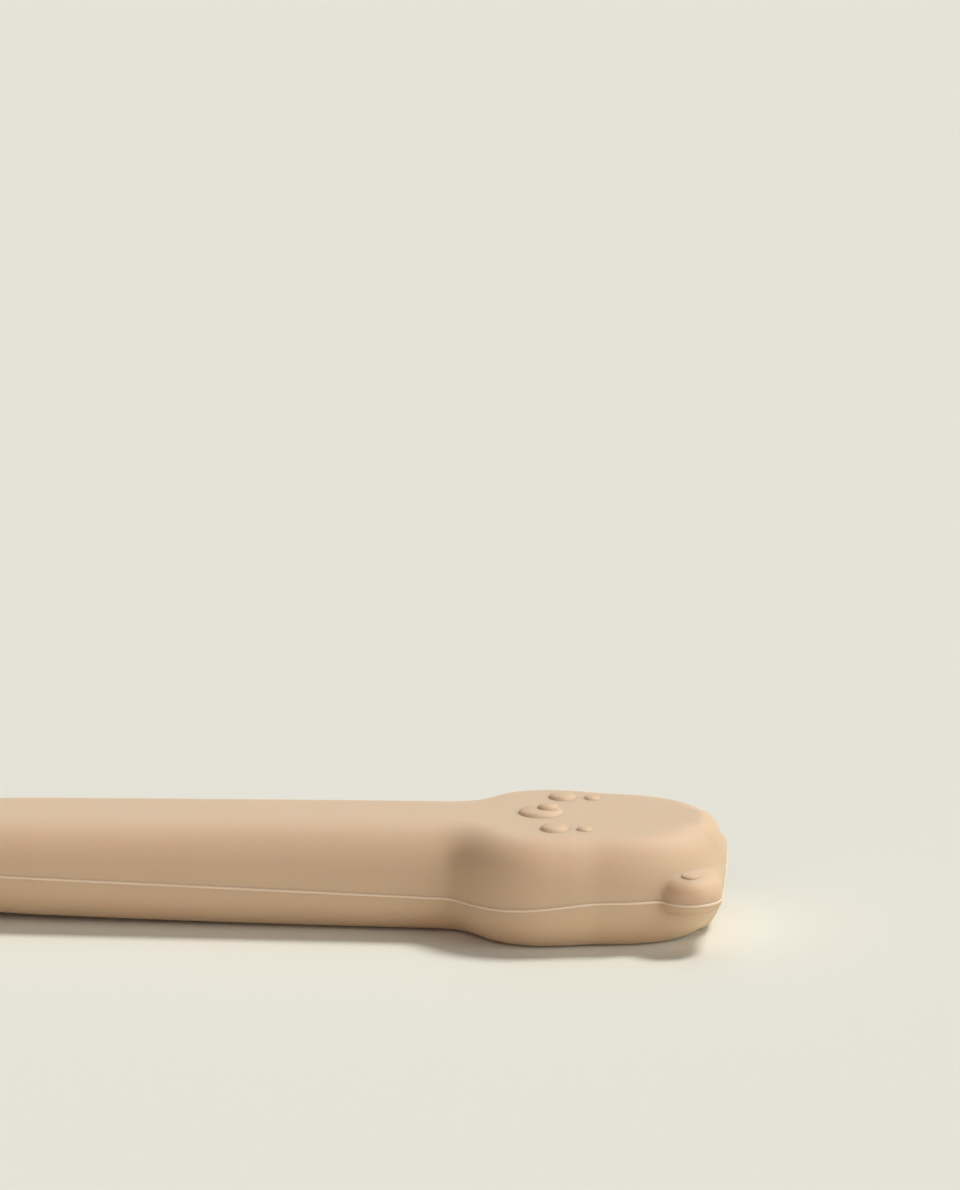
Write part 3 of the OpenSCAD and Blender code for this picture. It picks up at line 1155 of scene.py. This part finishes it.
SILICONE = MouldedFinish(
    name="matte_silicone",
    colour=linear(206, 176, 143),
    roughness=0.62,
    mottle_size=9.0,
    mottle=0.05,
    grain_size=0.16,
    grain=0.05,
    grain_depth=0.012,
    speck_spacing=2.6,
    speck_size=0.07,
    speck=0.25,
    glow=0.6,
    glow_depth=3.0,
    gloss=1.0,
)
RELIEF = replace(SILICONE, name="matte_silicone_relief", glow=0.0)
# Finish of the parting line. Its colour is paler than the silicone's: a painted highlight that stands in for
# the light the thin raised ridge catches.
FLASH_PAINTED_HIGHLIGHT = MouldedFinish(
    name="silicone_flash_painted_highlight",
    colour=linear(230, 207, 180),
    roughness=0.5,
    mottle_size=5.0,
    mottle=0.06,
    grain_size=0.16,
    grain=0.05,
    grain_depth=0.006,
    speck_spacing=2.6,
    speck_size=0.05,
    speck=0.2,
)
CORE_PLASTIC = MouldedFinish(
    name="core_plastic",
    colour=linear(240, 239, 235),
    roughness=0.5,
    mottle_size=14.0,
    mottle=0.03,
    grain_size=0.3,
    grain=0.04,
    grain_depth=0.01,
    speck_spacing=4.0,
    speck_size=0.08,
    speck=0.2,
    ior=1.49,
)


@dataclass
class Core:
    """Stiff strip inside the handle, which keeps its CAD shape."""

    node: str = "rigid_core"

    def dress(self, material: bpy.types.Material) -> bpy.types.Object:
        """Gives the strip its finish.

        Args:
            material: Finish of the strip.

        Returns:
            The strip.
        """
        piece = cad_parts[self.node]
        piece.data.materials.clear()
        piece.data.materials.append(material)
        return piece


@dataclass(frozen=True)
class Lamp:
    """Wide lamp far away, whose colour is the light on a surface square to it, where 1 is full light."""

    name: str
    source: Point
    spread: float
    colour: Colour

    @property
    def height(self) -> float:
        """Share of the lamp's light that a level surface gets."""
        return Vector(self.source).normalized().z

    def hang(self) -> None:
        """Hangs the lamp."""
        made = bpy.data.lights.new(self.name, "SUN")
        made.energy = math.pi * max(self.colour)
        made.color = [value / max(self.colour) for value in self.colour]
        made.angle = math.radians(self.spread)
        hung = bpy.data.objects.new(self.name, made)
        hung.rotation_mode = "QUATERNION"
        hung.rotation_quaternion = Vector(self.source).to_track_quat("Z", "Y")
        bpy.context.scene.collection.objects.link(hung)


@dataclass(frozen=True)
class Studio:
    """Pale floor, soft light and a camera at the photograph's viewing angle."""

    ground: Colour = linear(229, 227, 215)
    floor_half: float = 8000.0
    sky: Colour = (0.01, 0.01, 0.01)
    key_from: Point = (0.42, 0.25, 0.87)
    key_spread: float = 16.0
    fills: tuple[Lamp, ...] = (
        Lamp("side", (0.9, -0.4, 0.35), 40.0, (0.38, 0.42, 0.42)),
        Lamp("front", (-0.1, -0.9, 0.42), 50.0, (0.24, 0.2, 0.19)),
        Lamp("back", (0.0, 0.6, 0.8), 50.0, (0.16, 0.18, 0.2)),
    )
    aim: Point = (50.01, 4.51, 32.25)
    camera_distance: float = 450.0
    azimuth: float = 4.8
    elevation: float = 12.15
    focal_pixels: float = 4500.0
    image_height: float = 1190.0
    sensor: float = 36.0

    def floor(self) -> None:
        """Lays the floor."""
        half = self.floor_half
        corners = np.array([(-half, -half, 0), (half, -half, 0), (half, half, 0), (-half, half, 0)])
        piece = new_piece("floor", corners, [], [(0, 1, 2, 3)])
        made = bpy.data.materials.new("floor_paint")
        made.use_nodes = True
        shader = made.node_tree.nodes["Principled BSDF"]
        shader.inputs["Base Color"].default_value = (*self.ground, 1.0)
        shader.inputs["Roughness"].default_value = 1.0
        shader.inputs["Specular IOR Level"].default_value = 0.0
        piece.data.materials.append(made)

    def light(self) -> None:
        """Hangs the fills and a key that brings the light on the floor to full light."""
        key = Lamp("key", self.key_from, self.key_spread, (1.0, 1.0, 1.0))
        given = np.array(self.sky) + sum(fill.height * np.array(fill.colour) for fill in self.fills)
        lacking = (1 - given) / key.height
        for lamp in (replace(key, colour=tuple(lacking.tolist())), *self.fills):
            lamp.hang()

    def surround(self) -> None:
        """Sets a faint sky, which the camera and clear reflections see in the floor's colour."""
        world = bpy.data.worlds.new("sky")
        world.use_nodes = True
        bpy.context.scene.world = world
        graph = Graph(world.node_tree)
        graph.tree.nodes.clear()
        path = graph.add("ShaderNodeLightPath").outputs
        sky = graph.add("ShaderNodeBackground", {"Color": (*self.sky, 1.0)})
        seen = graph.add("ShaderNodeBackground", {"Color": (*self.ground, 1.0)})
        direct = path["Is Camera Ray"]
        for other in (path["Is Glossy Ray"], path["Is Transmission Ray"]):
            direct = graph.math("MAXIMUM", direct, other)
        chosen = graph.add("ShaderNodeMixShader", {0: direct, 1: sky.outputs[0], 2: seen.outputs[0]})
        graph.add("ShaderNodeOutputWorld", {"Surface": chosen.outputs[0]})

    def camera(self) -> None:
        """Sets the camera."""
        around, up = math.radians(self.azimuth), math.radians(self.elevation)
        back = Vector(
            (math.sin(around) * math.cos(up), -math.cos(around) * math.cos(up), math.sin(up))
        )
        lens = bpy.data.cameras.new("camera")
        lens.sensor_width = self.sensor
        lens.lens = self.focal_pixels * self.sensor / self.image_height
        camera = bpy.data.objects.new("camera", lens)
        camera.location = (Vector(self.aim) + back * self.camera_distance) * MM
        camera.rotation_mode = "QUATERNION"
        camera.rotation_quaternion = back.to_track_quat("Z", "Y")
        bpy.context.scene.collection.objects.link(camera)
        bpy.context.scene.camera = camera

    def build(self) -> None:
        """Sets up the whole studio."""
        bpy.context.scene.view_settings.view_transform = "Standard"
        self.floor()
        self.light()
        self.surround()
        self.camera()


def report(piece: bpy.types.Object) -> None:
    """Logs a finished piece with its count of faces."""
    LOG.info("%s: %d faces", piece.name, len(piece.data.polygons))


def main() -> None:
    """Builds the studio and every piece of the spoon."""
    logging.basicConfig(level=logging.INFO, format="%(name)s: %(message)s")
    Studio().build()
    group = MouldedSurface().group()
    silicone = SILICONE.material(group)
    relief = RELIEF.material(group)
    moulding = SiliconeMoulding(GripAndHead.from_frame(), Bowl.from_frame(), Ears.from_frame())
    report(Core().dress(CORE_PLASTIC.material(group)))
    report(moulding.build(silicone))
    report(PartingLine(moulding).build(FLASH_PAINTED_HIGHLIGHT.material(group)))
    face_z = moulding.bar.face_height
    ovals = (
        RaisedOval.single("muzzle", face_z),
        RaisedOval.single("nose", face_z),
        RaisedOval.pair("eyes", face_z),
        RaisedOval.pair("cheeks", face_z),
        RaisedOval.pair("inner_ears", moulding.ears.top_z, flare=0.04),
    )
    for oval in ovals:
        report(oval.build(relief))


if __name__ == "__main__":
    main()
